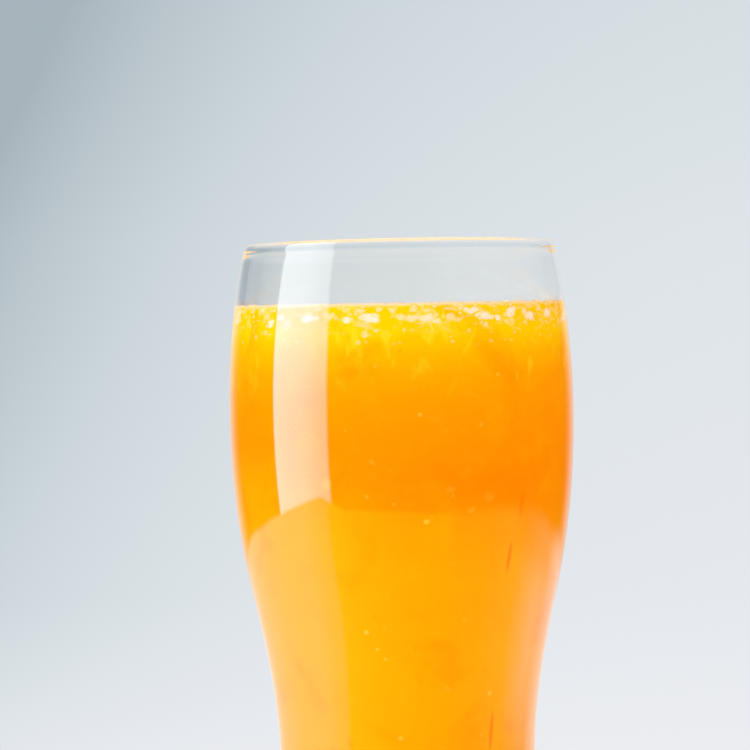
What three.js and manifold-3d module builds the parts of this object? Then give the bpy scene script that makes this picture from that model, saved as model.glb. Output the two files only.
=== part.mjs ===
// A tall tulip-shaped glass of orange juice, in millimetres, with +Z up. The origin is the middle of the
// foot, on the surface that the glass stands on. The glass is one turned wall on a thick foot. The juice
// fills its inside, and a layer of froth with raised bubbles floats on the juice.
import * as THREE from 'three';
import { mergeVertices } from 'three/addons/utils/BufferGeometryUtils.js';
import Module from 'manifold-3d';

const wasm = await Module();
wasm.setup();

// Driving dimensions of the glass
const HEIGHT = 168;
const LIP_RADIUS = 1.05;          // of the round edge at the mouth
const LIP_CENTRE = 36.7;          // radius of the ring that the round edge follows
const RIM_LEAN = -0.226;          // how fast the wall closes towards the mouth
const FOOT_EDGE = 3.5;            // radius of the rounded edge round the foot
const FOOT_RADIUS = 35;
const PUNT_RADIUS = 20;           // shallow hollow under the foot
const PUNT_DEPTH = 1.6;
const FLOOR = 13;                 // height of the inside's lowest point
const BOWL_DEPTH = 10;            // height over which the inside's floor curves up into the wall

// Driving dimensions of the drink
const LEVEL = 153.4;              // height of the drink's top
const FROTH_DEPTH = 5;            // from the froth's underside to the tops of its bubbles
const BUBBLE_RISE = 1.4;          // height of the tallest bubbles above the froth they sit in
const BUBBLES = 136;
const BUBBLE_RADIUS = { least: 0.9, most: 3 };
const BUBBLE_HEIGHT = 0.75;       // of a bubble, as a share of its width
const BUBBLE_SEED = 11;
const SMALLNESS = 1.3;            // over 1 there are more small bubbles than large ones
const CROWDING = 0.44;            // under 0.5 the bubbles stand closer together near the wall
const JITTER = 0.4;               // how far a bubble strays from its place, in radians round the axis
const GAP = 0.3;                  // clearance between touching pieces

// Fineness of the faceted surfaces
const AROUND = 56;
const PER_STRETCH = 5;
const PER_CORNER = 3;
const PER_BOWL = 6;
const PER_LIP = 4;
const BUBBLE_SIDES = 7;
const BUBBLE_ROWS = 4;

// The wall's two faces pass through these stations from the foot up to the mouth. Slope is the change of
// radius with height, and each stretch between two stations is a cubic curve.
const lean = Math.atan(-RIM_LEAN);
const rim = {
  z: HEIGHT - LIP_RADIUS + LIP_RADIUS * Math.sin(lean),
  radius: LIP_CENTRE + LIP_RADIUS * Math.cos(lean),
  slope: RIM_LEAN,
};
const rimInside = {
  z: HEIGHT - LIP_RADIUS - LIP_RADIUS * Math.sin(lean),
  radius: LIP_CENTRE - LIP_RADIUS * Math.cos(lean),
  slope: RIM_LEAN,
};
const OUTSIDE = [
  { z: FOOT_EDGE, radius: FOOT_RADIUS, slope: -0.14 },
  { z: 41, radius: 31.3, slope: 0 },          // the waist
  { z: 83.5, radius: 37.3, slope: 0.232 },    // the steepest part of the flank
  { z: 127, radius: 42, slope: 0 },           // the bulge
  rim,
];
const INSIDE = [
  { z: FLOOR + BOWL_DEPTH, radius: 26.6, slope: 0.02 },
  { z: 41, radius: 27.4, slope: 0.07 },
  { z: 83.5, radius: 34.5, slope: 0.228 },
  { z: 127, radius: 39.7, slope: 0 },
  rimInside,
];

const onCurve = (lower, upper, t) => {
  const rise = upper.z - lower.z;
  const radius = (2 * t ** 3 - 3 * t ** 2 + 1) * lower.radius
    + (t ** 3 - 2 * t ** 2 + t) * rise * lower.slope
    + (3 * t ** 2 - 2 * t ** 3) * upper.radius
    + (t ** 3 - t ** 2) * rise * upper.slope;
  return new THREE.Vector2(radius, lower.z + rise * t);
};

const radiusAt = (stations, z) => {
  const above = Math.max(1, stations.findIndex((station) => station.z >= z));
  const [lower, upper] = [stations[above - 1], stations[above]];
  return onCurve(lower, upper, (z - lower.z) / (upper.z - lower.z)).x;
};

// Points up one face of the wall, from its first station to a height
const wallUpTo = (stations, top) => {
  const points = [];
  for (let i = 1; i < stations.length && stations[i - 1].z < top; i += 1) {
    const share = Math.min(1, (top - stations[i - 1].z) / (stations[i].z - stations[i - 1].z));
    const steps = Math.max(1, Math.round(PER_STRETCH * share));
    for (let step = 0; step < steps; step += 1) {
      points.push(onCurve(stations[i - 1], stations[i], (share * step) / steps));
    }
  }
  points.push(new THREE.Vector2(radiusAt(stations, top), top));
  return points;
};

const arc = (centreRadius, centreZ, radius, from, to, steps) => {
  const points = [];
  for (let step = 0; step <= steps; step += 1) {
    const angle = from + ((to - from) * step) / steps;
    points.push(new THREE.Vector2(
      centreRadius + radius * Math.cos(angle),
      centreZ + radius * Math.sin(angle),
    ));
  }
  return points;
};

// The inside's floor, from its lowest point on the axis out to where the wall begins. Inset moves it in
// from the glass.
const bowl = (inset) => {
  const points = [];
  for (let step = 0; step < PER_BOWL; step += 1) {
    const angle = (Math.PI / 2) * (step / PER_BOWL);
    points.push(new THREE.Vector2(
      (INSIDE[0].radius - inset) * Math.sin(angle),
      FLOOR + inset + (BOWL_DEPTH - inset) * (1 - Math.cos(angle)),
    ));
  }
  return points;
};

// A turned solid, from its outline in radius and height, which starts and ends on the axis
const turned = (outline) => {
  const geometry = new THREE.LatheGeometry(outline, AROUND);
  geometry.rotateX(Math.PI / 2);
  return geometry;
};

const glassGeometry = () => {
  const axis = (z) => new THREE.Vector2(0, z);
  const punt = [
    axis(PUNT_DEPTH),
    new THREE.Vector2(PUNT_RADIUS * 0.7, PUNT_DEPTH * 0.7),
    new THREE.Vector2(PUNT_RADIUS, 0),
  ];
  const footEdge = arc(FOOT_RADIUS - FOOT_EDGE, FOOT_EDGE, FOOT_EDGE, -Math.PI / 2, 0, PER_CORNER);
  const outside = wallUpTo(OUTSIDE, rim.z).slice(1, -1);
  const lip = arc(LIP_CENTRE, HEIGHT - LIP_RADIUS, LIP_RADIUS, lean, lean + Math.PI, PER_LIP);
  const inside = wallUpTo(INSIDE, rimInside.z).slice(0, -1).reverse();
  const floor = bowl(0).slice(1).reverse();
  return turned([...punt, ...footEdge, ...outside, ...lip, ...inside, ...floor, axis(FLOOR)]);
};

const juiceGeometry = () => {
  const top = LEVEL - FROTH_DEPTH - GAP;
  const side = wallUpTo(INSIDE, top).map((point) => new THREE.Vector2(point.x - GAP, point.y));
  return turned([...bowl(GAP), ...side, new THREE.Vector2(0, top)]);
};

const solidOf = (geometry) => {
  const bare = geometry.clone();
  bare.deleteAttribute('normal');
  bare.deleteAttribute('uv');
  const merged = mergeVertices(bare);
  return new wasm.Manifold(new wasm.Mesh({
    numProp: 3,
    vertProperties: merged.attributes.position.array,
    triVerts: new Uint32Array(merged.index.array),
  }));
};

const geometryOf = (solid) => {
  const mesh = solid.getMesh();
  const geometry = new THREE.BufferGeometry();
  geometry.setAttribute('position', new THREE.BufferAttribute(mesh.vertProperties, 3));
  geometry.setIndex(new THREE.BufferAttribute(mesh.triVerts, 1));
  return geometry;
};

// The froth is a flat layer, with bubbles of uneven size set in it along a sunflower's spiral, a little
// closer together towards the wall. Each bubble is sunk until only its crown stands up.
const frothGeometry = () => {
  const under = LEVEL - FROTH_DEPTH;
  const surface = LEVEL - BUBBLE_RISE;
  const edge = (z) => new THREE.Vector2(radiusAt(INSIDE, z) - GAP, z);
  const layer = [new THREE.Vector2(0, under), edge(under), edge(surface), new THREE.Vector2(0, surface)];
  let froth = solidOf(turned(layer));

  const goldenAngle = Math.PI * (3 - Math.sqrt(5));
  const reach = radiusAt(INSIDE, LEVEL) - 2 * GAP;
  THREE.MathUtils.seededRandom(BUBBLE_SEED);
  for (let i = 0; i < BUBBLES; i += 1) {
    const size = THREE.MathUtils.seededRandom() ** SMALLNESS;
    const radius = THREE.MathUtils.lerp(BUBBLE_RADIUS.least, BUBBLE_RADIUS.most, size);
    const out = Math.min(reach * ((i + 0.5) / BUBBLES) ** CROWDING, reach - radius);
    const angle = i * goldenAngle + JITTER * (THREE.MathUtils.seededRandom() - 0.5);
    const halfHeight = BUBBLE_HEIGHT * radius;
    const rise = Math.min(0.8 * halfHeight, BUBBLE_RISE);
    const bubble = new THREE.SphereGeometry(radius, BUBBLE_SIDES, BUBBLE_ROWS);
    bubble.rotateX(Math.PI / 2);
    bubble.scale(1, 1, BUBBLE_HEIGHT);
    bubble.translate(out * Math.cos(angle), out * Math.sin(angle), surface + rise - halfHeight);
    froth = froth.add(solidOf(bubble));
  }
  return geometryOf(froth);
};

const named = (name, geometry, look) => {
  const mesh = new THREE.Mesh(geometry, new THREE.MeshStandardMaterial({ metalness: 0, ...look }));
  mesh.name = name;
  return mesh;
};

const drink = new THREE.Group();
drink.add(named('glass', glassGeometry(), {
  color: 0xdfe4e6, roughness: 0.03, transparent: true, opacity: 0.35,
}));
drink.add(named('juice', juiceGeometry(), { color: 0xffa600, roughness: 0.35 }));
drink.add(named('froth', frothGeometry(), { color: 0xffd24a, roughness: 0.5 }));

export default drink;
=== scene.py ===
# %% [markdown]
# # A glass of orange juice
# The imported model gives three solids: the clear glass, the juice in it and the froth on the juice. This
# lesson dresses them for a still picture. Everything is in metres, with the origin under the middle of
# the foot and Z up. First the frame is loaded, and the box round its solids is kept, as its top is the
# highest the glass may reach.

import math
import random

import bmesh
import bpy
import numpy as np
from mathutils import Matrix, Vector, noise


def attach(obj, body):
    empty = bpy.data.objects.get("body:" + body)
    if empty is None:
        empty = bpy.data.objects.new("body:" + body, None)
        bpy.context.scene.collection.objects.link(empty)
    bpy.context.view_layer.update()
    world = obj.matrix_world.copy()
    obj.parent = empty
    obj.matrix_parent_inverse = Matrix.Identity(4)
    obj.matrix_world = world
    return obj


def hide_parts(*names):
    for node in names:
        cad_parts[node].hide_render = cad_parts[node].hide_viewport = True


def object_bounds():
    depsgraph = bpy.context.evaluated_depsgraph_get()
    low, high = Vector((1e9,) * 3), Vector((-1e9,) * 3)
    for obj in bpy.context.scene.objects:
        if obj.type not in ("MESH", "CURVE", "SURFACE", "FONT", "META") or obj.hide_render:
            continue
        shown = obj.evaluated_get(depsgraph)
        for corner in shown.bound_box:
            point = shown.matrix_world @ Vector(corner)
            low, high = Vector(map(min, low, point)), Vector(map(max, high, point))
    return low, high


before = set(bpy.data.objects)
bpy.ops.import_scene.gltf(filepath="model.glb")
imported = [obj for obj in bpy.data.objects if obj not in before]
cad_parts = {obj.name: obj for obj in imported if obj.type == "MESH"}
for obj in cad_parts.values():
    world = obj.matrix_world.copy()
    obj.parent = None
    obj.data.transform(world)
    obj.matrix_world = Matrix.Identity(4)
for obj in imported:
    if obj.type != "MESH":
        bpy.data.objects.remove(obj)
solids_box = [list(corner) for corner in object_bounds()]
scene = bpy.context.scene
MM = 0.001
print("solids:", sorted(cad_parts), "box:", solids_box)

# %% [markdown]
# ## Writing node trees as formulas
# Materials, the surroundings and the shapes below are all node trees. Placing each node by hand hides
# what the tree works out, so two small classes do it. A Wire stands for the output of a node, and adding
# or multiplying wires adds the Math nodes. A Tree adds any other node from its type, its settings and
# the values or wires of its sockets.

# %% Wires and trees
class Wire:
    """The output of a node, which can be used in a formula."""

    def __init__(self, tree, socket):
        self.tree = tree
        self.socket = socket

    def __add__(self, other):
        return self.tree.math("ADD", self, other)

    def __sub__(self, other):
        return self.tree.math("SUBTRACT", self, other)

    def __mul__(self, other):
        return self.tree.math("MULTIPLY", self, other)

    def __truediv__(self, other):
        return self.tree.math("DIVIDE", self, other)

    def __rsub__(self, other):
        return self.tree.math("SUBTRACT", other, self)

    def __rtruediv__(self, other):
        return self.tree.math("DIVIDE", other, self)

    def __neg__(self):
        return self.tree.math("MULTIPLY", self, -1.0)

    __radd__ = __add__
    __rmul__ = __mul__


class Tree:
    """Adds nodes to one node tree."""

    def __init__(self, nodes_of):
        self.nodes_of = nodes_of

    def node(self, kind, settings=None, sockets=None):
        made = self.nodes_of.nodes.new(kind)
        for name, value in (settings or {}).items():
            if name == "stops":
                set_stops(made.color_ramp, value)
            else:
                setattr(made, name, value)
        for key, value in (sockets or {}).items():
            socket = find_socket(made.inputs, key)
            if isinstance(value, Wire):
                self.nodes_of.links.new(value.socket, socket)
            else:
                socket.default_value = value
        return made

    def wire(self, kind, settings=None, sockets=None, output=0):
        made = self.node(kind, settings, sockets)
        return Wire(self, find_socket(made.outputs, output))

    def math(self, operation, *values):
        return self.wire("ShaderNodeMath", {"operation": operation}, dict(enumerate(values)))

    def vector_math(self, operation, *values, output=0):
        settings = {"operation": operation}
        return self.wire("ShaderNodeVectorMath", settings, dict(enumerate(values)), output)

    def blend(self, share, first, second):
        """A colour between two, by share."""
        sockets = {"Factor_Float": share, "A_Color": first, "B_Color": second}
        return self.wire("ShaderNodeMix", {"data_type": "RGBA"}, sockets, "Result_Color")

    def fade(self, value, start, end, low=0.0, high=1.0):
        """Goes smoothly from low to high as value goes from start to end."""
        span = {"From Min": start, "From Max": end, "To Min": low, "To Max": high}
        smooth = {"interpolation_type": "SMOOTHSTEP"}
        return self.wire("ShaderNodeMapRange", smooth, {"Value": value, **span}, "Result")

    def noise(self, place, scale, detail, **more):
        """Noise over a place. The rest are further sockets, such as Distortion."""
        sockets = {"Vector": place, "Scale": scale, "Detail": detail, **more}
        return self.wire("ShaderNodeTexNoise", None, sockets)

    def bump(self, height, strength, distance):
        sockets = {"Height": height, "Strength": strength, "Distance": distance}
        return self.wire("ShaderNodeBump", None, sockets)

    def stored(self, name):
        """A number that is stored on a piece's points."""
        return self.wire("ShaderNodeAttribute", {"attribute_name": name}, None, "Fac")

    def split(self, vector):
        parts = self.node("ShaderNodeSeparateXYZ", None, {"Vector": vector})
        return [Wire(self, parts.outputs[i]) for i in range(3)]

    def join(self, x, y, z):
        return self.wire("ShaderNodeCombineXYZ", None, {"X": x, "Y": y, "Z": z})


def find_socket(sockets, key):
    """A socket by its number, its identifier or its name."""
    if isinstance(key, int):
        return sockets[key]
    by_identifier = [s for s in sockets if s.identifier == key]
    return by_identifier[0] if by_identifier else sockets[key]


def set_stops(ramp, stops):
    while len(ramp.elements) > 1:
        ramp.elements.remove(ramp.elements[-1])
    for number, (place, colour) in enumerate(stops):
        element = ramp.elements[0] if number == 0 else ramp.elements.new(place)
        element.position = place
        element.color = (*colour, 1.0)


def new_material(name):
    """An empty material and its Tree."""
    material = bpy.data.materials.new(name)
    material.use_nodes = True
    material.node_tree.nodes.clear()
    return material, Tree(material.node_tree)


def put_out(tree, shader):
    tree.node("ShaderNodeOutputMaterial", None, {"Surface": shader})


# %% [markdown]
# ## The curve of the wall
# The real glass was blown in a turned mould, so each of its faces follows one curve from the foot to the
# mouth. The curve could be drawn by hand as a spline. Here it is worked out from the same few stations as
# the solid's, a height, a radius and a slope each, so the fine glass lies exactly where the solid does.

# %% Stations of the wall, in millimetres
HEIGHT = 168.0
LIP_RADIUS = 1.05
LIP_CENTRE = 36.7
RIM_LEAN = math.atan(0.226)
FOOT_RADIUS = 35.0
FOOT_EDGE = 3.5
PUNT_RADIUS = 20.0
PUNT_DEPTH = 1.6
FLOOR = 13.0
BOWL_DEPTH = 10.0
LEVEL = 153.4
FROTH_BOTTOM = 148.4
FROTH_TOP = 152.0
HAIR = 1e-9         # forgives rounding when a height is compared with a station's

rim_height = LIP_RADIUS * math.sin(RIM_LEAN)
rim_width = LIP_RADIUS * math.cos(RIM_LEAN)
LIP_HEIGHT = HEIGHT - LIP_RADIUS
OUTSIDE = [
    (FOOT_EDGE, FOOT_RADIUS, -0.14),
    (41.0, 31.3, 0.0),
    (83.5, 37.3, 0.232),
    (127.0, 42.0, 0.0),
    (LIP_HEIGHT + rim_height, LIP_CENTRE + rim_width, -0.226),
]
INSIDE = [
    (FLOOR + BOWL_DEPTH, 26.6, 0.02),
    (41.0, 27.4, 0.07),
    (83.5, 34.5, 0.228),
    (127.0, 39.7, 0.0),
    (LIP_HEIGHT - rim_height, LIP_CENTRE - rim_width, -0.226),
]


def radius_at(stations, z):
    """Radius of one face of the wall at a height."""
    for (low_z, low_r, low_slope), (high_z, high_r, high_slope) in zip(stations, stations[1:]):
        if z <= high_z + HAIR:
            rise = high_z - low_z
            t = max(0.0, (z - low_z) / rise)
            return ((2 * t**3 - 3 * t**2 + 1) * low_r + (t**3 - 2 * t**2 + t) * rise * low_slope
                    + (3 * t**2 - 2 * t**3) * high_r + (t**3 - t**2) * rise * high_slope)
    return stations[-1][1]


def wall(stations, low, high, steps, reach=0.0):
    """Points (radius, height) up one face of the wall, moved out by reach."""
    heights = np.linspace(low, high, steps + 1)
    return [(radius_at(stations, z) + reach, z) for z in heights]


def arc(centre, radius, start, end, steps):
    """Points (radius, height) along a part of a circle, with its angles in degrees."""
    angles = np.radians(np.linspace(start, end, steps + 1))
    return [(centre[0] + radius * math.cos(a), centre[1] + radius * math.sin(a)) for a in angles]


def bowl(reach, steps):
    """Points (radius, height) over the inside's floor, from the axis out to the wall."""
    angles = np.radians(np.linspace(0.0, 90.0, steps + 1))
    width = INSIDE[0][1] + reach
    depth = BOWL_DEPTH + reach
    return [(width * math.sin(a), FLOOR - reach + depth * (1 - math.cos(a))) for a in angles]


print("widest:", radius_at(OUTSIDE, 127.0), "mm, waist:", radius_at(OUTSIDE, 41.0), "mm")

# %% [markdown]
# ## Turning an outline
# Glass, juice and froth are all round, as if they came off a lathe. A Screw modifier or the Spin tool
# could turn them. Geometry Nodes do it here, because the rule is short: a grid with one row for each
# point of the outline and one column for each step round the axis is bent to the outline's radius and
# height. Welding the grid closes the seam and both poles.

# %% The tree that turns an outline
def open_tree(name, inputs):
    """A Geometry Nodes tree with named inputs, its Tree, and a wire for each input."""
    group = bpy.data.node_groups.new(name, "GeometryNodeTree")
    for label, kind in inputs.items():
        group.interface.new_socket(label, in_out="INPUT", socket_type="NodeSocket" + kind)
    group.interface.new_socket("Result", in_out="OUTPUT", socket_type="NodeSocketGeometry")
    tree = Tree(group)
    given = tree.node("NodeGroupInput")
    return group, tree, {label: Wire(tree, given.outputs[label]) for label in inputs}


def close_tree(tree, shape, material):
    """Ends a tree in a plain smooth mesh with its material."""
    plain = tree.wire("GeometryNodeRealizeInstances", None, {"Geometry": shape})
    smooth = tree.wire("GeometryNodeSetShadeSmooth", None, {"Geometry": plain})
    done = tree.wire("GeometryNodeSetMaterial", None, {"Geometry": smooth, "Material": material})
    tree.node("NodeGroupOutput", None, {0: done})


def turning_tree():
    group, tree, given = open_tree("turned outline", {
        "Outline": "Geometry", "Steps round": "Int", "Weld": "Float", "Material": "Material",
    })
    size = {"component": "MESH"}
    rows = tree.wire("GeometryNodeAttributeDomainSize", size, {"Geometry": given["Outline"]}, "Point Count")
    grid = tree.wire("GeometryNodeMeshGrid", None, {
        "Size X": 1.0, "Size Y": 1.0, "Vertices X": given["Steps round"] + 1, "Vertices Y": rows,
    }, "Mesh")
    index = tree.wire("GeometryNodeInputIndex")
    row = tree.math("MODULO", index, rows)
    angle = (index - row) / rows / given["Steps round"] * math.tau
    outline = tree.wire("GeometryNodeSampleIndex", {"data_type": "FLOAT_VECTOR"}, {
        "Geometry": given["Outline"], "Value": tree.wire("GeometryNodeInputPosition"), "Index": row,
    })
    radius, _, height = tree.split(outline)
    place = tree.join(radius * tree.math("COSINE", angle), radius * tree.math("SINE", angle), height)
    bent = tree.wire("GeometryNodeSetPosition", None, {"Geometry": grid, "Position": place})
    welded = tree.wire("GeometryNodeMergeByDistance", None, {"Geometry": bent, "Distance": given["Weld"]})
    close_tree(tree, welded, given["Material"])
    return group


def grow(group, name, base, **inputs):
    """Runs a Geometry Nodes tree on a mesh and keeps the result as a plain piece at the origin."""
    maker = bpy.data.objects.new(name + "_maker", base)
    scene.collection.objects.link(maker)
    modifier = maker.modifiers.new("tree", "NODES")
    modifier.node_group = group
    for item in group.interface.items_tree:
        key = item.name.replace(" ", "_").lower()
        if item.in_out == "INPUT" and key in inputs:
            modifier[item.identifier] = inputs[key]
    scene.view_layers[0].update()
    evaluated = maker.evaluated_get(bpy.context.evaluated_depsgraph_get())
    mesh = bpy.data.meshes.new_from_object(evaluated)
    mesh.name = name
    piece = bpy.data.objects.new(name, mesh)
    scene.collection.objects.link(piece)
    bpy.data.objects.remove(maker)
    return piece


WELD = 1e-6         # in metres, the distance under which points of a turned piece become one


def turn(group, name, outline, steps_round, material):
    """A turned piece from its outline in millimetres."""
    line = bpy.data.meshes.new(name + "_outline")
    points = [(r * MM, 0.0, z * MM) for r, z in outline]
    line.from_pydata(points, [(i, i + 1) for i in range(len(points) - 1)], [])
    piece = grow(group, name, line, steps_round=steps_round, weld=WELD, material=material)
    report(piece)
    return piece


def report(piece):
    """Prints a piece's size, and how much it holds if it is closed."""
    shape = bmesh.new()
    shape.from_mesh(piece.data)
    open_edges = sum(not edge.is_manifold for edge in shape.edges)
    triangles = sum(len(face.verts) - 2 for face in shape.faces)
    volume = shape.calc_volume(signed=True) * 1e6
    shape.free()
    print(f"{piece.name}: {triangles} triangles, {open_edges} open edges, {volume:.2f} cm3")


TURN = turning_tree()
print(f"{TURN.name}: {len(TURN.nodes)} nodes")

# %% [markdown]
# ## Clear glass
# Real soda-lime glass is colourless, very smooth, and bends light by an index of 1.5. The Principled
# shader at full transmission gives that. A path tracer needs help with the light that falls on what is
# inside, because a lamp can't be aimed at through a bent surface. So for shadow rays, and for the rays that
# gather soft light, the glass is swapped for a plain see-through shader. A faint ripple in the surface
# keeps the reflections from looking drawn with a ruler.

# %% Glass finish
def clear_glass():
    material, tree = new_material("clear_glass")
    place = tree.wire("ShaderNodeTexCoord", None, None, "Object")
    surface = tree.bump(tree.noise(place, 45.0, 1.0), 0.06, 0.0006)
    smear = tree.noise(place, 90.0, 3.0)
    glass = tree.wire("ShaderNodeBsdfPrincipled", None, {
        "Base Color": (0.985, 0.993, 0.99, 1.0),
        "Roughness": tree.fade(smear, 0.6, 0.8, 0.0, 0.03),
        "IOR": 1.5,
        "Transmission Weight": 1.0,
        "Normal": surface,
    })
    see_through = tree.wire("ShaderNodeBsdfTransparent", None, {"Color": (0.99, 0.995, 0.99, 1.0)})
    path = tree.node("ShaderNodeLightPath")
    shadow = Wire(tree, path.outputs["Is Shadow Ray"])
    gather = Wire(tree, path.outputs["Is Diffuse Ray"])
    for_lamps = tree.wire("ShaderNodeMixShader", None, {0: shadow, 1: glass, 2: see_through})
    for_all = tree.wire("ShaderNodeMixShader", None, {0: gather, 1: for_lamps, 2: see_through})
    put_out(tree, for_all)
    return material


GLASS = clear_glass()
print(f"{GLASS.name}: {len(GLASS.node_tree.nodes)} nodes")

# %% [markdown]
# ## The tumbler
# One wall of glass runs from the thick foot over the round lip and down again to the inside's floor. The
# solid in the frame has the same outline, but with flat facets that would break up every reflection. So a
# fine one is turned over it, with enough steps that smooth shading has little left to hide. Under the lip,
# where the edge was melted into a bead, both faces draw in by a hair, and the steps there are closer.

# %% Turn the tumbler
TOP = solids_box[1][2] / MM
OUTER_NECK = 0.04   # how far each face draws in under the lip's bead
INNER_NECK = 0.13
NECK_HEIGHT = 165.5
NECK_SPREAD = 0.75
FINE_ABOVE = 160.0  # the height above which the wall has closer steps
LONG_STEPS = 66
NECK_STEPS = 24
CORNER_STEPS = 10   # over the hollow under the foot, and over the foot's rounded edge
LIP_STEPS = 14
FLOOR_STEPS = 20
TUMBLER_SIDES = 192


def drawn_in(points, depth):
    """Moves one face of the wall in by depth just under the lip, as the bead of a melted edge leaves it."""
    return [(r - depth * math.exp(-((z - NECK_HEIGHT) / NECK_SPREAD) ** 2), z) for r, z in points]


def whole_wall(stations):
    """Points (radius, height) up one whole face of the wall."""
    long_part = wall(stations, stations[0][0], FINE_ABOVE, LONG_STEPS)
    return long_part + wall(stations, FINE_ABOVE, stations[-1][0], NECK_STEPS)[1:]


def tumbler_outline():
    punt = [(PUNT_RADIUS * s, PUNT_DEPTH * (1 - s**3)) for s in np.linspace(0.0, 1.0, CORNER_STEPS + 1)]
    foot_edge = arc((FOOT_RADIUS - FOOT_EDGE, FOOT_EDGE), FOOT_EDGE, -90.0, 0.0, CORNER_STEPS)
    outside = drawn_in(whole_wall(OUTSIDE), OUTER_NECK)
    lean = math.degrees(RIM_LEAN)
    lip = arc((LIP_CENTRE, LIP_HEIGHT), LIP_RADIUS, lean, lean + 180.0, LIP_STEPS)
    inside = drawn_in(whole_wall(INSIDE), -INNER_NECK)
    floor = bowl(0.0, FLOOR_STEPS)
    outline = punt + foot_edge + outside[1:-1] + lip + inside[1:-1][::-1] + floor[::-1]
    return [(radius, min(z, TOP)) for radius, z in outline]


tumbler = turn(TURN, "tumbler", tumbler_outline(), TUMBLER_SIDES, GLASS)

# %% [markdown]
# ## The colour of the juice
# Fresh orange juice is a cloud of pulp in water. It is not one orange: just under the froth it is full of
# small bubbles and looks yellow, it deepens to orange further down and is lighter again low in the glass.
# Part of this is painted light: the yellow at the top is partly light that comes in through the froth, the
# lighter orange low in the glass is painted light from the bright table, and the lower left side is made
# paler as a painted pool of the light from the left.
# Soft clouds of pulp drift in it, and yellow flecks of froth trail down from the top.
# A colour ramp on the height gives the change, and stretched noise gives the clouds. The same colours go
# on the side of the froth, so no edge shows where one piece ends and the next begins.

# %% Juice colours
RED = 0.97
CREAM = (RED, 0.70, 0.51, 1.0)
FOAM = (0.82, 0.60, 0.34, 1.0)
PALE_FOAM = (0.92, 0.77, 0.56, 1.0)
FROTH_EDGE = (RED, 0.64, 0.36, 1.0)
# painted light: the paler orange where light from the left falls on the lower left side of the juice
PAINTED_LIGHT_ORANGE = (RED, 0.38, 0.0, 1.0)
PALE_PULP = (RED, 0.36, 0.0, 1.0)
DEEP_PULP = (RED, 0.19, 0.0, 1.0)
YELLOW_TRAIL = (RED, 0.6, 0.012, 1.0)
PALE_SPECK = (RED, 0.42, 0.01, 1.0)
# painted light: the green by height holds light that comes in through the froth at the top, and the bright
# table's light low in the glass
DEPTHS = [
    # height in millimetres, green
    (40.0, 0.325), (59.0, 0.321), (71.0, 0.328), (83.0, 0.309), (94.0, 0.3), (102.8, 0.268),
    (107.7, 0.245), (112.6, 0.229), (117.5, 0.238), (122.4, 0.25), (127.3, 0.265), (132.2, 0.285),
    (137.1, 0.325), (142.0, 0.405), (146.9, 0.53), (150.0, 0.54), (155.0, 0.55),
]
RAMP_LOW = 40.0
RAMP_HIGH = 155.0


def juice_colour(tree):
    """The juice's colour over its side, from the height, drifting clouds of pulp and painted light, and its
    place.
    """
    place = tree.wire("ShaderNodeTexCoord", None, None, "Object")
    x, y, z = tree.split(place)
    height = tree.wire("ShaderNodeMapRange", None, {
        "Value": z, "From Min": RAMP_LOW * MM, "From Max": RAMP_HIGH * MM,
    }, "Result")
    stops = [((z - RAMP_LOW) / (RAMP_HIGH - RAMP_LOW), (RED, green, 0.0)) for z, green in DEPTHS]
    by_height = tree.wire("ShaderNodeValToRGB", {"stops": stops}, {"Fac": height})
    clouds = tree.noise(place, 70.0, 4.0, Roughness=0.55, Distortion=0.6)
    grain = tree.noise(place, 420.0, 3.0)
    trails = tree.noise(tree.join(x, y, z * 0.5), 290.0, 4.0, Distortion=1.0)
    haze = tree.noise(tree.join(x, y, z * 1.5), 330.0, 4.0, Distortion=0.8)
    # painted light: a pool of light on the lower left side of the juice, where light from the left falls
    painted_left_light = tree.fade(x, 0.004, -0.028) * tree.fade(z, 0.124, 0.108, 0.0, 0.6)
    under_froth = tree.fade(z, 0.128, 0.148)
    by_froth = tree.fade(z, 0.1455, 0.1495)
    lit = tree.blend(painted_left_light, by_height, PAINTED_LIGHT_ORANGE)
    pale = tree.blend(tree.fade(clouds, 0.5, 0.75, 0.0, 0.36), lit, PALE_PULP)
    deep = tree.blend(tree.fade(clouds, 0.48, 0.27, 0.0, 0.34), pale, DEEP_PULP)
    trailed = tree.blend(tree.fade(trails, 0.5, 0.76, 0.0, 0.7) * under_froth, deep, YELLOW_TRAIL)
    hazy = tree.blend(tree.fade(haze, 0.5, 0.72, 0.0, 0.45) * by_froth, trailed, CREAM)
    return tree.blend(tree.fade(grain, 0.55, 0.8, 0.0, 0.12), hazy, PALE_SPECK), place


def put_soft(tree, colour, roughness, surface, shine=0.0):
    """Ends a material in pulp or foam, which has no shine of its own where glass lies on it."""
    put_out(tree, tree.wire("ShaderNodeBsdfPrincipled", None, {
        "Base Color": colour, "Roughness": roughness, "Specular IOR Level": shine, "Normal": surface,
    }))


def juice_finish():
    material, tree = new_material("orange_juice")
    colour, place = juice_colour(tree)
    pulp = tree.noise(place, 900.0, 2.0)
    put_soft(tree, colour, tree.fade(pulp, 0.3, 0.7, 0.45, 0.7), tree.bump(pulp, 0.15, 0.0002))
    return material


JUICE = juice_finish()
print(f"{JUICE.name}: {len(JUICE.node_tree.nodes)} nodes")

# %% [markdown]
# ## The juice
# Juice wets the glass, so no air lies between them. If the two faces only touched, or stood a hair apart,
# a bright or dark line of air would show. So the juice reaches a little way into the wall, and a ray that
# has entered the glass meets the juice before it meets the glass's inner face.

# %% Turn the juice
REACH = 0.12
CORNER = 0.03       # distance of the extra rings that keep a corner sharp under smooth shading
JUICE_STEPS = 64
JUICE_FLOOR_STEPS = 18
DRINK_SIDES = 160


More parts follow.
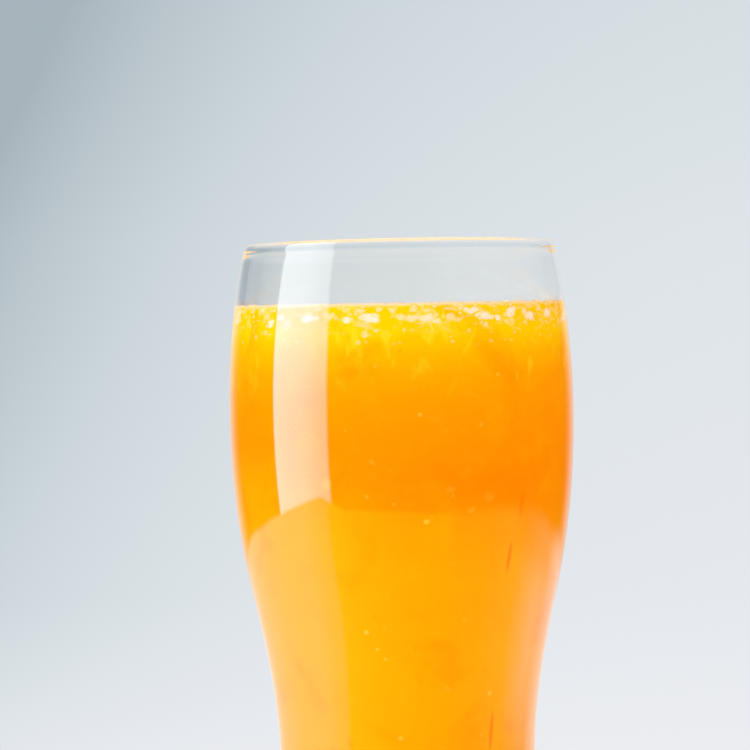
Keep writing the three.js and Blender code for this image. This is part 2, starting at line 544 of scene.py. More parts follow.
def juice_outline():
    side = wall(INSIDE, INSIDE[0][0], FROTH_BOTTOM - CORNER, JUICE_STEPS, REACH)
    radius = radius_at(INSIDE, FROTH_BOTTOM) + REACH
    corner = [(radius, FROTH_BOTTOM), (radius - CORNER, FROTH_BOTTOM)]
    return bowl(REACH, JUICE_FLOOR_STEPS) + side[1:] + corner + [(0.0, FROTH_BOTTOM)]


juice_body = turn(TURN, "juice_body", juice_outline(), DRINK_SIDES, JUICE)

# %% [markdown]
# ## The froth
# Pouring beats air into the juice, and the bubbles gather in a layer a few millimetres deep. The layer is
# turned like the juice, with many rings on its top so that its surface can be lumpy, and it climbs a
# little where it clings to the glass. Seen from the side it has the juice's colour with a pale edge, and
# on top it has the colour of foam, with a net of small bubbles.

# %% Froth finish and layer
def froth_finish():
    material, tree = new_material("juice_froth")
    side_colour, place = juice_colour(tree)
    z = tree.split(place)[2]
    up = tree.split(tree.wire("ShaderNodeNewGeometry", None, None, "Normal"))[2]
    on_top = tree.fade(up, 0.25, 0.6)
    cells, small = [
        tree.wire("ShaderNodeTexVoronoi", {"feature": "F1"}, {"Vector": place, "Scale": scale}, "Distance")
        for scale in (620.0, 1500.0)
    ]
    patches = tree.noise(place, 190.0, 3.0)
    crowns = tree.fade(cells, 0.5, 0.1) * 0.5 + tree.fade(small, 0.5, 0.1) * 0.3
    top_colour = tree.blend(crowns * tree.fade(patches, 0.3, 0.6, 0.5, 1.0), FOAM, PALE_FOAM)
    foamy = tree.blend(on_top, side_colour, top_colour)
    edged = tree.blend(tree.fade(z, 0.1523, 0.1531, 0.0, 0.8), foamy, FROTH_EDGE)
    surface = tree.bump((cells + small * 0.4) * on_top, 0.5, 0.0005)
    put_soft(tree, edged, tree.fade(patches, 0.3, 0.7, 0.3, 0.5), surface)
    return material


EDGE_DROP = 0.1     # from the drink's level down to the froth's highest ring
CLIMB = [(0.25, 0.25), (0.8, 0.8), (1.6, LEVEL - FROTH_TOP)]    # in from the wall, and down from the level
FLAT_FROM = 2.2     # in from the wall, where the rings of the flat top begin
FLAT_RINGS = 48
FROTH_STEPS = 8
LUMPS = 0.35 * MM
LUMPY_WITHIN = 38.5 * MM
WIDE_LUMPS = 320.0  # scale of the noise, and of the finer one on top of it
FINE_LUMPS = 900.0


def froth_outline():
    wall_radius = radius_at(INSIDE, LEVEL)
    side = wall(INSIDE, FROTH_BOTTOM + CORNER, LEVEL - EDGE_DROP, FROTH_STEPS, REACH)
    corner = [(side[0][0] - CORNER, FROTH_BOTTOM), (side[0][0], FROTH_BOTTOM)]
    climb = [(wall_radius - inward, LEVEL - down) for inward, down in CLIMB]
    rings = [(radius, FROTH_TOP) for radius in np.linspace(wall_radius - FLAT_FROM, 0.0, FLAT_RINGS)]
    return [(0.0, FROTH_BOTTOM)] + corner + side + climb + rings


froth_body = turn(TURN, "froth_body", froth_outline(), DRINK_SIDES, froth_finish())
for vertex in froth_body.data.vertices:
    out = math.hypot(vertex.co.x, vertex.co.y)
    if vertex.co.z > (FROTH_TOP - 0.01) * MM and out < LUMPY_WITHIN:
        wide = LUMPS * noise.noise(vertex.co * WIDE_LUMPS)
        fine = 0.5 * LUMPS * noise.noise(vertex.co * FINE_LUMPS)
        vertex.co.z += wide + fine
froth_body.data.update()

# %% [markdown]
# ## Bubbles
# Every bubble is the same thing at another size: a round skin, squeezed by its neighbours. Modelling them
# one by one would take days. Geometry Nodes put one low sphere on each of many points, sized and turned by
# what is stored on the point. The height on the unsqueezed sphere is stored too, as crown, so that the
# finish can make the middle of a bubble paler than its edge.

# %% The tree that sets bubbles on points
def store(tree, shape, name, value):
    """Stores a number on each point of a shape."""
    kind = {"data_type": "FLOAT", "domain": "POINT"}
    sockets = {"Geometry": shape, "Name": name, "Value": value}
    return tree.wire("GeometryNodeStoreNamedAttribute", kind, sockets)


def crowned_ball(tree, sides, rings):
    """A ball with the height of each point stored on it."""
    sockets = {"Segments": sides, "Rings": rings, "Radius": 1.0}
    ball = tree.wire("GeometryNodeMeshUVSphere", None, sockets, "Mesh")
    return store(tree, ball, "crown", tree.split(tree.wire("GeometryNodeInputPosition"))[2])


def bubble_tree():
    group, tree, given = open_tree("bubbles on points", {
        "Points": "Geometry", "Sides": "Int", "Rings": "Int", "Material": "Material",
    })
    ball = crowned_ball(tree, given["Sides"], given["Rings"])
    stored = {"data_type": "FLOAT_VECTOR"}
    facing = tree.wire("GeometryNodeInputNamedAttribute", stored, {"Name": "facing"})
    size = tree.wire("GeometryNodeInputNamedAttribute", stored, {"Name": "size"})
    turned = tree.wire("FunctionNodeAlignRotationToVector", {"axis": "Z"}, {"Vector": facing})
    spin = tree.wire("GeometryNodeInputNamedAttribute", {"data_type": "FLOAT"}, {"Name": "spin"})
    upright = tree.wire("FunctionNodeAlignRotationToVector", {"axis": "Y", "pivot_axis": "Z"}, {
        "Rotation": turned, "Vector": (0.0, 0.0, 1.0),
    })
    roll = tree.wire("FunctionNodeAxisAngleToRotation", None, {"Axis": (0.0, 0.0, 1.0), "Angle": spin})
    rolled = tree.wire("FunctionNodeRotateRotation", {"rotation_space": "LOCAL"}, {
        "Rotation": upright, "Rotate By": roll,
    })
    placed = tree.wire("GeometryNodeInstanceOnPoints", None, {
        "Points": given["Points"], "Instance": ball, "Rotation": rolled, "Scale": size,
    })
    close_tree(tree, placed, given["Material"])
    return group


def point_cloud(name, rows):
    """A mesh of loose points from rows of place, facing, size, spin and tint."""
    cloud = bpy.data.meshes.new(name)
    cloud.from_pydata([row[0] for row in rows], [], [])
    for label, kind, field, column in [
        ("facing", "FLOAT_VECTOR", "vector", 1), ("size", "FLOAT_VECTOR", "vector", 2),
        ("spin", "FLOAT", "value", 3), ("tint", "FLOAT", "value", 4),
    ]:
        stored = cloud.attributes.new(label, kind, "POINT")
        stored.data.foreach_set(field, np.array([row[column] for row in rows], float).ravel())
    return cloud


BUBBLES = bubble_tree()
print(f"{BUBBLES.name}: {len(BUBBLES.nodes)} nodes")

# %% [markdown]
# ## Bubble finish
# A bubble in juice is a thin wet skin that scatters light, paler than the liquid between it and the next.
# The tint stored on each point says how pale this one is, and crown fades that paleness towards its edge.

# %% Pale skins
def bubble_finish(name, edge_at, crown_at, between=None, skin=CREAM, shine=0.0):
    """Paler towards the crown of each bubble. What is between them is the juice's colour unless given."""
    material, tree = new_material(name)
    side_colour, place = juice_colour(tree)
    film = tree.noise(place, 700.0, 2.0)
    uneven = tree.stored("crown") + (film - 0.5) * 1.1
    share = tree.stored("tint") * tree.fade(uneven, edge_at, crown_at) * tree.fade(film, 0.1, 0.6, 0.8, 1.0)
    colour = tree.blend(share, between or side_colour, skin)
    put_soft(tree, colour, tree.fade(film, 0.3, 0.7, 0.12, 0.3), tree.bump(film, 0.1, 0.0002), shine)
    return material


TOP_SKIN = bubble_finish("froth_skin", -0.1, 0.9, FOAM, PALE_FOAM, 0.5)
WALL_SKIN = bubble_finish("wall_bubble_skin", 0.35, 0.95)
print("skins:", TOP_SKIN.name, WALL_SKIN.name)

# %% [markdown]
# ## Large bubbles on the froth
# The solid has its larger bubbles along a sunflower's spiral, and the same rule and the same random
# numbers put these in the same places, so what replaces the solid keeps its form.

# %% Bubbles of the solid, made round
SPIRAL_BUBBLES = 136
SPIRAL_SEED = 11
TINT_SEED = 5
LEAST_RADIUS = 0.9
RADIUS_RANGE = 2.1
SMALLNESS = 1.3     # over 1 there are more small bubbles than large ones
CROWDING = 0.44     # under 0.5 the bubbles stand closer together near the wall
JITTER = 0.4        # how far a bubble strays from its place, in radians round the axis
FLATTENING = 0.75   # a bubble's height as a share of its width
SHOWN = 0.8         # the most of its half height that stands up out of the froth
BUBBLE_RISE = 1.4   # the most of it in millimetres
WALL_GAP = 0.6
GOLDEN_ANGLE = math.pi * (3 - math.sqrt(5))
WORD = 0xFFFFFFFF   # keeps the sums below within 32 bits
WORD_STEP = 0x6D2B79F5


def drawn_numbers(seed):
    """The random numbers from 0 to 1 that the solid's bubbles were drawn with."""
    state = seed
    while True:
        state = (state + WORD_STEP) & WORD
        t = ((state ^ (state >> 15)) * (state | 1)) & WORD
        t ^= (t + (((t ^ (t >> 7)) * (t | 61)) & WORD)) & WORD
        yield ((t ^ (t >> 14)) & WORD) / (WORD + 1)


def spiral_bubbles():
    draw = drawn_numbers(SPIRAL_SEED)
    next(draw)
    tints = random.Random(TINT_SEED)
    reach = radius_at(INSIDE, LEVEL) - WALL_GAP
    rows = []
    for i in range(SPIRAL_BUBBLES):
        radius = LEAST_RADIUS + RADIUS_RANGE * next(draw) ** SMALLNESS
        out = min(reach * ((i + 0.5) / SPIRAL_BUBBLES) ** CROWDING, reach - radius)
        angle = i * GOLDEN_ANGLE + JITTER * (next(draw) - 0.5)
        half_height = FLATTENING * radius
        height = FROTH_TOP + min(SHOWN * half_height, BUBBLE_RISE) - half_height
        place = (out * math.cos(angle) * MM, out * math.sin(angle) * MM, height * MM)
        size = (radius * MM, radius * MM, half_height * MM)
        rows.append((place, (0.0, 0.0, 1.0), size, 0.0, tints.uniform(0.35, 1.0)))
    return rows


froth_bubbles = grow(BUBBLES, "froth_bubbles", point_cloud("spiral", spiral_bubbles()),
                     sides=16, rings=8, material=TOP_SKIN)
report(froth_bubbles)

# %% [markdown]
# ## Fine foam
# Between the large bubbles lies foam of much smaller ones. They are scattered over the froth's top by
# Distribute Points on Faces, which keeps them a least distance apart, as packed bubbles are.

# %% Scatter the fine foam
FACING_UP = 0.6     # the least upward part of a normal, where foam lies
DENSITY = 600000.0  # of points tried on a square metre, before those too close together are dropped
FOAM_HEIGHT = 0.8   # of a small bubble, as a share of its width


def foam_tree():
    group, tree, given = open_tree("fine foam", {
        "Froth": "Geometry", "Radius": "Float", "Spacing": "Float", "Smallest": "Float", "Largest": "Float",
        "Seed": "Int", "Material": "Material",
    })
    up = tree.split(tree.wire("GeometryNodeInputNormal"))[2]
    x, y, _ = tree.split(tree.wire("GeometryNodeInputPosition"))
    out = tree.math("SQRT", x * x + y * y)
    top = tree.math("GREATER_THAN", up, FACING_UP) * tree.math("LESS_THAN", out, given["Radius"])
    points = tree.wire("GeometryNodeDistributePointsOnFaces", {"distribute_method": "POISSON"}, {
        "Mesh": given["Froth"], "Selection": top, "Distance Min": given["Spacing"],
        "Density Max": DENSITY, "Seed": given["Seed"],
    }, "Points")
    number = {"data_type": "FLOAT"}
    chance = tree.wire("FunctionNodeRandomValue", number, {"Seed": given["Seed"]}, "Value_001")
    paleness = tree.wire("FunctionNodeRandomValue", number, {
        "Min_001": 0.1, "Max_001": 0.9, "Seed": given["Seed"] + 1,
    }, "Value_001")
    size = given["Smallest"] + (given["Largest"] - given["Smallest"]) * chance * chance
    placed = tree.wire("GeometryNodeInstanceOnPoints", None, {
        "Points": store(tree, points, "tint", paleness),
        "Instance": crowned_ball(tree, 8, 6),
        "Scale": tree.join(size, size, size * FOAM_HEIGHT),
    })
    close_tree(tree, placed, given["Material"])
    return group


fine_foam = grow(foam_tree(), "fine_foam", froth_body.data, radius=37.2 * MM, spacing=1.2 * MM,
                 smallest=0.35 * MM, largest=0.95 * MM, seed=4, material=TOP_SKIN)
report(fine_foam)

# %% [markdown]
# ## Bubbles against the wall
# Through the glass the froth is seen from the side, as a band of pale bubbles pressed flat against the
# wall. The clearest ones are listed by angle from the front, height and half width, and the rest are
# drawn at random, so that the band goes on all the way round. The tree makes each one a flat disc, which a
# few lines of Python then bend to the wall, because its edges would stand away from a curved one.

# %% Press bubbles against the wall
PRESSED = [
    # angle, height, half width, share of height to width, tilt in degrees, tint
    (-59.5, 152.2, 0.9, 0.9, 0, 0.5), (-53.8, 152.2, 0.9, 0.8, 0, 0.5), (-51.3, 150.6, 0.8, 0.9, 0, 0.4),
    (-48.5, 149.0, 1.2, 0.8, 20, 1.0), (-51.2, 146.9, 0.7, 1.0, 0, 0.35), (-43.5, 150.4, 1.1, 0.8, 0, 0.5),
    (-31.3, 150.2, 2.0, 0.5, 0, 0.8), (-24.0, 150.6, 1.1, 0.7, 0, 0.5), (-17.6, 149.6, 1.2, 0.7, 10, 0.9),
    (-17.7, 151.8, 0.8, 0.8, 0, 0.5), (-10.1, 150.1, 2.5, 0.4, -14, 1.0), (-13.4, 151.7, 1.0, 0.7, -20, 0.6),
    (-6.8, 151.9, 0.7, 0.9, 0, 0.5), (-2.6, 151.6, 0.7, 0.9, 0, 0.5), (0.4, 150.2, 1.0, 0.8, 0, 0.55),
    (3.6, 149.7, 1.5, 0.55, -8, 0.6), (4.6, 151.8, 0.9, 0.8, 0, 0.5), (9.8, 150.0, 1.6, 0.6, 5, 0.8),
    (12.4, 149.2, 0.9, 0.8, 0, 0.7), (17.0, 149.9, 1.2, 0.8, 0, 0.5), (19.4, 149.2, 0.7, 0.9, 0, 0.4),
    (24.6, 151.3, 1.6, 0.45, 20, 1.0), (29.4, 150.0, 1.9, 0.5, 18, 1.0), (34.4, 149.5, 0.8, 0.8, 10, 0.9),
    (39.7, 150.7, 1.6, 0.8, 10, 1.0), (46.4, 151.0, 0.8, 0.8, 0, 0.6), (49.2, 149.7, 1.3, 0.9, -20, 1.0),
    (54.4, 151.4, 0.9, 0.7, 0, 0.6), (60.0, 150.4, 1.5, 0.8, 10, 1.0), (-11.5, 146.4, 0.8, 1.2, 0, 0.4),
    (-7.7, 147.3, 0.6, 0.9, 0, 0.35), (-13.6, 144.6, 0.6, 0.9, 0, 0.25),
]
SET_IN = 0.10       # how far the middle of a pressed grain lies inside the wall's face
FLATNESS = 0.05     # half its thickness
SPREAD = 1.15       # how much wider a listed bubble is made, because its edge fades into the froth
WALL_RADIUS = 37.0  # of the band, for turning a width into an angle
MORE_LARGE = 50     # drawn at random round the sides and back, where none is listed
MORE_SMALL = 330    # drawn at random all the way round
BAND_SEED = 23
BAND_TOP = 152.6
BAND_DEPTH = 8.5


def on_wall(angle, z, half_width, share, tilt, tint):
    """A row of a point cloud for a grain pressed against the wall, in degrees and millimetres."""
    turn_angle = math.radians(angle)
    out = Vector((math.sin(turn_angle), -math.cos(turn_angle), 0.0))
    place = out * radius_at(INSIDE, z) * MM + Vector((0.0, 0.0, z * MM))
    size = (half_width * MM, half_width * share * MM, FLATNESS * MM)
    return tuple(place), tuple(out), size, math.radians(tilt), tint


def hug_wall(piece):
    """Bends flat grains to the wall: each point's distance from the wall's face comes from its crown."""
    crown = np.zeros(len(piece.data.vertices))
    piece.data.attributes["crown"].data.foreach_get("value", crown)
    for vertex, lift in zip(piece.data.vertices, crown):
        across = Vector((vertex.co.x, vertex.co.y, 0.0)).normalized()
        radius = (radius_at(INSIDE, vertex.co.z / MM) + SET_IN + FLATNESS * lift) * MM
        vertex.co = across * radius + Vector((0.0, 0.0, vertex.co.z))
    piece.data.update()


def clusters(chance, rows):
    """Each listed bubble with two smaller ones beside it, for an uneven outline."""
    for angle, z, width, share, tilt, tint in rows:
        yield angle, z, width * SPREAD, share, tilt, tint
        for side in (-1, 1):
            reach = width * chance.uniform(0.5, 0.95)
            beside = angle + side * math.degrees(reach / WALL_RADIUS)
            yield (beside, z + chance.uniform(-0.5, 0.5) * width * share, width * chance.uniform(0.45, 0.7),
                   share * chance.uniform(0.9, 1.5), tilt, tint * chance.uniform(0.5, 0.9))


def wall_bubble_rows():
    chance = random.Random(BAND_SEED)
    listed = list(PRESSED)
    for _ in range(MORE_LARGE):
        listed.append((chance.uniform(70.0, 292.0), chance.uniform(149.0, 151.6), chance.uniform(1.1, 2.6),
                       chance.uniform(0.4, 0.8), chance.uniform(-20, 20), chance.uniform(0.5, 1.0)))
    rows = [on_wall(*row) for row in clusters(chance, listed)]
    for _ in range(MORE_SMALL):
        low = chance.random() ** 2.2
        rows.append(on_wall(chance.uniform(0.0, 360.0), BAND_TOP - BAND_DEPTH * low,
                            chance.uniform(0.35, 0.8), chance.uniform(0.6, 1.1), 0.0,
                            chance.uniform(0.15, 0.6) * (1 - 0.6 * low)))
    return rows


wall_bubbles = grow(BUBBLES, "wall_bubbles", point_cloud("pressed", wall_bubble_rows()),
                    sides=12, rings=6, material=WALL_SKIN)
hug_wall(wall_bubbles)
report(wall_bubbles)

# %% [markdown]
# ## Pulp against the wall
# Squeezed juice holds torn juice sacs. A few lie against the glass: pale grains, and thin darker strands
# that run down the wall. They are made by the same tree as the bubbles and bent to the wall in the same
# way, because a grain is a sphere squeezed thin and a strand is one drawn out long.

# %% Pulp grains and strands
GRAINS = [
    # angle, height, half width, share of height to width, tilt in degrees, tint
    (-15.0, 78.6, 0.75, 1.0, 0, 1.0), (-11.2, 74.6, 0.6, 0.8, 0, 0.9), (-8.2, 72.3, 0.5, 1.4, 20, 0.8),
    (7.6, 104.2, 1.0, 0.8, 10, 0.85), (37.8, 62.5, 0.8, 1.0, 0, 0.9), (-3.0, 53.2, 0.9, 0.8, -20, 0.8),
    (-25.5, 112.7, 1.6, 1.1, 0, 0.75), (-25.7, 99.2, 0.8, 1.2, 0, 0.4), (17.9, 64.5, 0.4, 2.0, 30, 0.65),
    (23.0, 106.4, 1.3, 0.8, 20, 0.65), (15.6, 111.3, 1.5, 0.7, 0, 0.62), (29.5, 109.1, 1.6, 1.0, 0, 0.62),
]
STRANDS = [
    # angle, height, half width, half length, tilt in degrees, tint
    (39.3, 94.8, 0.8, 4.8, -4, 0.0), (40.5, 53.0, 0.8, 6.5, 0, 0.05), (-26.5, 51.0, 0.7, 4.0, 12, 0.35),
    (43.0, 106.7, 1.0, 4.5, -6, 0.25),
]
MORE_GRAINS = 420
MORE_STRANDS = 46
PULP_SEED = 31
PALE_GRAIN = (RED, 0.47, 0.035, 1.0)
DEEP_STRAND = (0.94, 0.175, 0.0, 1.0)


def pulp_finish():
    material, tree = new_material("juice_pulp")
    side_colour, place = juice_colour(tree)
    tint = tree.stored("tint")
    flesh = tree.noise(place, 1400.0, 2.0)
    soft = tree.fade(tree.stored("crown"), 0.35, 1.0) * tree.fade(flesh, 0.2, 0.6, 0.8, 1.0)
    paler = tree.blend(tree.fade(tint, 0.5, 1.0) * soft, side_colour, PALE_GRAIN)
    deeper = tree.blend(tree.fade(tint, 0.5, 0.0) * soft, paler, DEEP_STRAND)
    put_soft(tree, deeper, tree.fade(flesh, 0.3, 0.7, 0.4, 0.6), tree.bump(flesh, 0.2, 0.0002))
    return material


def pulp_rows():
    chance = random.Random(PULP_SEED)
    rows = [on_wall(*row) for row in GRAINS]
    rows += [on_wall(a, z, w, length / w, tilt, tint) for a, z, w, length, tilt, tint in STRANDS]
    for _ in range(MORE_GRAINS):
        rows.append(on_wall(chance.uniform(0.0, 360.0), chance.uniform(27.0, 146.0),
                            chance.uniform(0.3, 0.8), chance.uniform(0.7, 1.8),
                            chance.uniform(-60, 60), chance.gauss(0.52, 0.11)))
    for _ in range(MORE_STRANDS):
        rows.append(on_wall(chance.uniform(60.0, 300.0), chance.uniform(30.0, 135.0),
                            chance.uniform(0.3, 0.6), chance.uniform(4.0, 9.0),
                            chance.uniform(-15, 15), chance.uniform(0.3, 0.45)))
    return rows


pulp = grow(BUBBLES, "pulp", point_cloud("grains", pulp_rows()),
            sides=10, rings=6, material=pulp_finish())
hug_wall(pulp)
report(pulp)

# %% [markdown]
# ## Riding
# Each piece rides on the one body of this row. The tumbler, the juice and the froth stand for the solids
# of the frame, which then aren't shown.

# %% Attach each piece and hide the solids it stands for
PIECES = [
    (tumbler, "clear_glass", ["glass"]),
    (juice_body, "orange_juice", ["juice"]),
    (froth_body, "juice_froth", ["froth"]),
    (froth_bubbles, "juice_froth", ["froth"]),
    (fine_foam, "juice_froth", []),
    (wall_bubbles, "juice_froth", []),
    (pulp, "orange_juice", []),
]
for piece, finish, solids in PIECES:
    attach(piece, "root")
    if solids:
        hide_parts(*solids)
print("pieces:", [piece.name for piece, _, _ in PIECES])

# %% [markdown]
# ## The table
# The glass stands on a plain pale table. A large plane would end in a hard horizon, so this one is a disc
# that fades away and lets the background show. It is hidden from reflections, which the surroundings
# below give instead.

# %% A pale disc that fades out
TABLE_RADIUS = 0.21
UNDER_FOOT = -0.0002
TABLE_GREY = (0.60, 0.61, 0.63, 1.0)
TABLE_PALE = (0.63, 0.64, 0.66, 1.0)


def table_finish():
    material, tree = new_material("pale_table")
    place = tree.wire("ShaderNodeTexCoord", None, None, "Object")
    out = tree.vector_math("LENGTH", place, output="Value")
    colour = tree.blend(tree.noise(place, 30.0, 3.0), TABLE_GREY, TABLE_PALE)
    table = tree.wire("ShaderNodeBsdfPrincipled", None, {
        "Base Color": colour,
        "Roughness": 0.9,
        "Specular IOR Level": 0.0,
    })
    nothing = tree.wire("ShaderNodeBsdfTransparent")
    put_out(tree, tree.wire("ShaderNodeMixShader", None, {
        0: tree.fade(out, 0.05, 0.20), 1: table, 2: nothing,
    }))
    return material


bpy.ops.mesh.primitive_circle_add(
    vertices=96, radius=TABLE_RADIUS, fill_type="NGON", location=(0.0, 0.0, UNDER_FOOT),
)
table = bpy.context.object
table.name = "table"
table.data.materials.append(table_finish())
table.visible_glossy = False
print("table:", TABLE_RADIUS, "m in radius")

# %% [markdown]
# ## The studio round it
# What a glass looks like is mostly what it mirrors. A real studio has a tall soft box on the left, a
# bright table and dark room elsewhere. Modelling them as planes would put them in the way of the camera
# from other sides. So the world's shader paints them: what the camera sees is a soft backdrop, what the
# glass mirrors is the studio, and what lights the juice is an even glow that is stronger from the left.
# The table is mirrored as it is lit by the drink, so it is yellow in front of the glass and paler further
# round. A warm glow at both sides does the same for the glass's outlines.

# %% Backdrop, mirrored studio and soft light
BACKDROP = [
    # share, colour
    (0.0, (0.386, 0.456, 0.503)), (0.445, (0.597, 0.665, 0.705)), (0.68, (0.708, 0.760, 0.796)),
    (0.854, (0.791, 0.815, 0.850)), (1.0, (0.86, 0.87, 0.90)),
]
TABLE_EDGE = [
    # direction in degrees left of the front, degrees below the horizon of the table's far edge
    (-180, 10.0), (-142, 12.2), (-128, 13.6), (-97, 13.8), (-69, 15.3), (-46, 16.7), (-18, 17.5), (16, 17.1),
    (40, 16.4), (57, 13.6), (74, 14.0), (92, 14.2), (116, 13.7), (139, 12.2), (180, 10.0),
]
TABLE_LIGHT = [
    # direction in degrees left of the front, brightness in red, green and blue
    (-180, (0.85, 0.9, 0.9)), (-140, (1.1, 1.2, 1.2)), (-118, (1.5, 1.6, 1.45)), (-104, (1.4, 1.4, 0.9)),
    (-90, (1.2, 1.25, 0.28)), (-60, (0.88, 0.93, 0.08)), (-40, (0.9, 0.92, 0.05)), (-15, (1.2, 1.2, 0.03)),
    (0, (1.3, 1.3, 0.04)), (20, (1.5, 1.5, 0.04)), (38, (1.8, 1.8, 0.07)), (51, (2.0, 2.0, 0.12)),
    (53.5, (2.1, 2.1, 0.8)), (75, (2.6, 2.5, 1.85)), (110, (1.8, 1.6, 1.5)), (140, (1.2, 1.1, 1.1)),
    (180, (0.9, 0.9, 0.9)),
]
STEEPEST = 20.0     # scale of the drops, because a colour ramp holds 0 to 1
BRIGHTEST = 5.0     # scale of the table's light
DARK = 0.015
DIM_WALL = (0.28, 0.31, 0.35, 1.0)
GLOW = 1.30         # of the even light, and how much stronger it is from the left
LEFT_GLOW = 0.25
HIGH_FROM = 15.75   # degrees above the horizon in front, where the directions called high begin
DEGREES = 180 / math.pi


def backdrop(tree, x, z):
    """A pale blue-grey wall, darker at the picture's upper left and dimmer high above it."""
    from_left = tree.math("EXPONENT", (x + 0.197) / -0.13)
    sideways = tree.math("MINIMUM", from_left * 0.7 + 0.3, 1.1)
    steeper = tree.math("MAXIMUM", z - 0.04, 0.0) * 1.1 - tree.math("MAXIMUM", -z - 0.15, 0.0) * 2.0
    upwards = tree.math("MAXIMUM", tree.math("MINIMUM", z * 1.74 + 0.727 + steeper, 1.2), 0.0)
    wall_colour = tree.wire("ShaderNodeValToRGB", {"stops": BACKDROP}, {"Fac": 1 - sideways * upwards})
    dim = tree.fade(z, 0.16, 0.30) * tree.fade(tree.math("ABSOLUTE", x), 0.5, 0.25)
    return tree.blend(dim, wall_colour, DIM_WALL)


def round_the_room(tree, left_angle, stops):
    """A colour that changes with the direction round the glass."""
    places = [((angle + 180) / 360, colour) for angle, colour in stops]
    return tree.wire("ShaderNodeValToRGB", {"stops": places}, {"Fac": (left_angle + 180) / 360})


def mirrored_table(tree, left_angle, up_angle):
    """The table's light, and how much of it shows in each direction."""
    drops = [(angle, (drop / STEEPEST,) * 3) for angle, drop in TABLE_EDGE]
    below_edge = up_angle + round_the_room(tree, left_angle, drops) * STEEPEST
    on_table = tree.fade(below_edge / tree.fade(left_angle, -20.0, -60.0, 0.9, 2.8), 0.5, -0.5)
    right = tree.fade(left_angle, -75.0, -95.0) * tree.fade(left_angle, -142.0, -122.0)
    shy = right * tree.fade(up_angle, -23.0, -15.0, 0.0, 0.6)

    lights = [(angle, tuple(c / BRIGHTEST for c in colour)) for angle, colour in TABLE_LIGHT]
    light = tree.wire("ShaderNodeVectorMath", {"operation": "SCALE"}, {
        "Vector": round_the_room(tree, left_angle, lights), "Scale": BRIGHTEST,
    })
    return light, on_table * (1 - shy)


def soft_box(tree, left_angle, up_angle, high):
    """The tall soft box at the left, with less green where it shines on the drink, for a peach tone."""
    across = tree.fade(left_angle, 48.0, 51.0) * tree.fade(left_angle, 49.0, 72.0, 0.66, 1.0)
    upright = tree.fade(up_angle, 48.0, 40.0) * tree.fade(left_angle, 93.5, 91.5)
    power = tree.fade(up_angle, -6.0, 12.0, 8.4, 11.4) * (1 - high) + high * 5.0
    warmth = tree.fade(up_angle, -8.0, 12.0, 0.88, 0.4) - tree.fade(up_angle, 5.0, 11.0, 0.0, 0.14)
    warmth = warmth * tree.fade(up_angle, -13.0, -3.0, 0.85, 1.0)
    green = warmth * (1 - high) + high
    light = across * upright * power
    return tree.join(light, light * green, light)


def dark_room(tree, left_angle, up_angle, high):
    """The rest of the room: dark in front, pale behind and overhead, with a warm glow at both sides."""
    aside = tree.math("ABSOLUTE", left_angle)
    walls = tree.fade(aside, 136.0, 160.0, DARK, 0.75)
    ceiling = tree.fade(up_angle, 28.0, 45.0, 0.0, 1.1) + tree.fade(up_angle, 48.0, 58.0, 0.0, 0.6)
    plain = tree.math("MAXIMUM", walls, high * 0.45 + ceiling)
    warm = tree.fade(aside, 95.0, 135.0, 0.0, 0.45) * tree.fade(aside, 164.0, 146.0) * (1 - high)
    return tree.join(plain + warm, plain + warm * 0.4, plain)


def mirrored_studio(tree, x, y, z):
    """What the glass mirrors. Only the clear glass above the drink mirrors the directions called high."""
    left_angle = tree.math("ARCTAN2", -x, -y) * DEGREES
    up_angle = tree.math("ARCSINE", z) * DEGREES
    start = tree.math("COSINE", left_angle * (0.5 / DEGREES)) * HIGH_FROM
    high = tree.fade(up_angle - start, -0.35, 0.35)
    room = dark_room(tree, left_angle, up_angle, high)
    lit_room = tree.vector_math("ADD", room, soft_box(tree, left_angle, up_angle, high))
    table_light, table_share = mirrored_table(tree, left_angle, up_angle)
    return tree.blend(table_share, lit_room, table_light)


def surround():
    world = bpy.data.worlds.new("studio")
    world.use_nodes = True
    world.node_tree.nodes.clear()
    tree = Tree(world.node_tree)
    direction = tree.wire("ShaderNodeTexCoord", None, None, "Generated")
    x, y, z = tree.split(direction)
    path = tree.node("ShaderNodeLightPath")
    camera, glossy, through = [
        Wire(tree, path.outputs[name]) for name in ("Is Camera Ray", "Is Glossy Ray", "Is Transmission Ray")
    ]
    glow = x * -LEFT_GLOW + GLOW
    even_glow = tree.join(glow, glow, glow)
    lit = tree.blend(glossy * (1 - through), even_glow, mirrored_studio(tree, x, y, z))
    seen = tree.blend(tree.math("MAXIMUM", camera, through), lit, backdrop(tree, x, z))
    shine = tree.wire("ShaderNodeBackground", None, {"Color": seen, "Strength": 1.0})
    tree.node("ShaderNodeOutputWorld", None, {"Surface": shine})
    return world


scene.world = surround()
print(f"{scene.world.name}: {len(scene.world.node_tree.nodes)} nodes")

# %% [markdown]
# ## A soft key light
# One large lamp at the left front makes the light side of the drink and a faint shadow on the table. It
# is hidden from the camera and from reflections, where the painted soft box already stands for it.

# %% Key light
AIM = Vector((0.0, 0.0, 0.1))


def soft_lamp(name, place, width, height, power):
    lamp = bpy.data.lights.new(name, "AREA")
    lamp.shape = "RECTANGLE"
    lamp.size = width
    lamp.size_y = height
    lamp.energy = power
    holder = bpy.data.objects.new(name, lamp)
    holder.location = place
    holder.rotation_euler = (AIM - Vector(place)).to_track_quat("-Z", "Y").to_euler()
    holder.visible_camera = False
    holder.visible_glossy = False
    holder.visible_transmission = False
    scene.collection.objects.link(holder)
    return holder


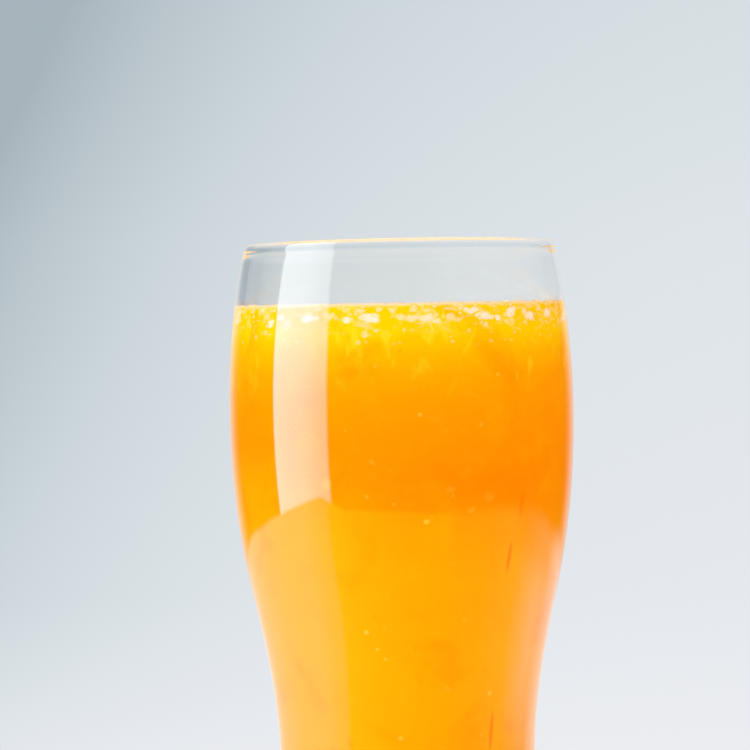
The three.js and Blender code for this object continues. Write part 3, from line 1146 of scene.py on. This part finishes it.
key = soft_lamp("key", place=(-0.75, -0.75, 0.75), width=0.6, height=0.9, power=1.4)
print(f"{key.name}: {key.data.energy:.1f} W from {tuple(key.location)}")

# %% [markdown]
# ## The camera
# The camera stands just below the level of the drink, close to the glass and looking slightly down, so the
# rim is seen from underneath. The glass stands a little right of the middle and leans to the left by about
# a degree, because the camera is tilted.

# %% Camera
DISTANCE = 0.453
EYE_HEIGHT = 0.1518
PIXELS_PER_TAN = 1850.0       # focal length of the picture, in pixels of 750
IMAGE = 750.0
SENSOR = 36.0
PAN_PIXELS = 25.8             # from the picture's middle to the glass
PITCH_DOWN = 2.0
ROLL = -1.1

lens = bpy.data.cameras.new("camera")
lens.sensor_width = SENSOR
lens.lens = SENSOR * PIXELS_PER_TAN / IMAGE
lens.clip_start = 0.01
lens.clip_end = 20.0
camera = bpy.data.objects.new("camera", lens)
pan = Matrix.Rotation(math.atan(PAN_PIXELS / PIXELS_PER_TAN), 4, "Z")
pitch = Matrix.Rotation(math.radians(90.0 - PITCH_DOWN), 4, "X")
roll = Matrix.Rotation(math.radians(ROLL), 4, "Z")
camera.matrix_world = Matrix.Translation((0.0, -DISTANCE, EYE_HEIGHT)) @ pan @ pitch @ roll
scene.collection.objects.link(camera)
scene.camera = camera
print(f"camera: {lens.lens:.1f} mm lens, {DISTANCE} m away")

# %% [markdown]
# ## Picture settings
# Clear glass needs many bounces before a ray comes out again. In the lip, where light runs round inside the
# glass, too few would leave black marks. The plain Standard view keeps the juice as bright and saturated as
# it is, where a film-like one would make it duller.

# %% Bounces and view
GLASS_BOUNCES = 32

scene.cycles.use_denoising = True
scene.cycles.max_bounces = GLASS_BOUNCES
scene.cycles.transmission_bounces = GLASS_BOUNCES
scene.cycles.glossy_bounces = GLASS_BOUNCES
scene.cycles.diffuse_bounces = 4
scene.cycles.transparent_max_bounces = 24
scene.cycles.caustics_reflective = False
scene.cycles.caustics_refractive = False
scene.view_settings.view_transform = "Standard"
print("bounces in glass:", GLASS_BOUNCES)
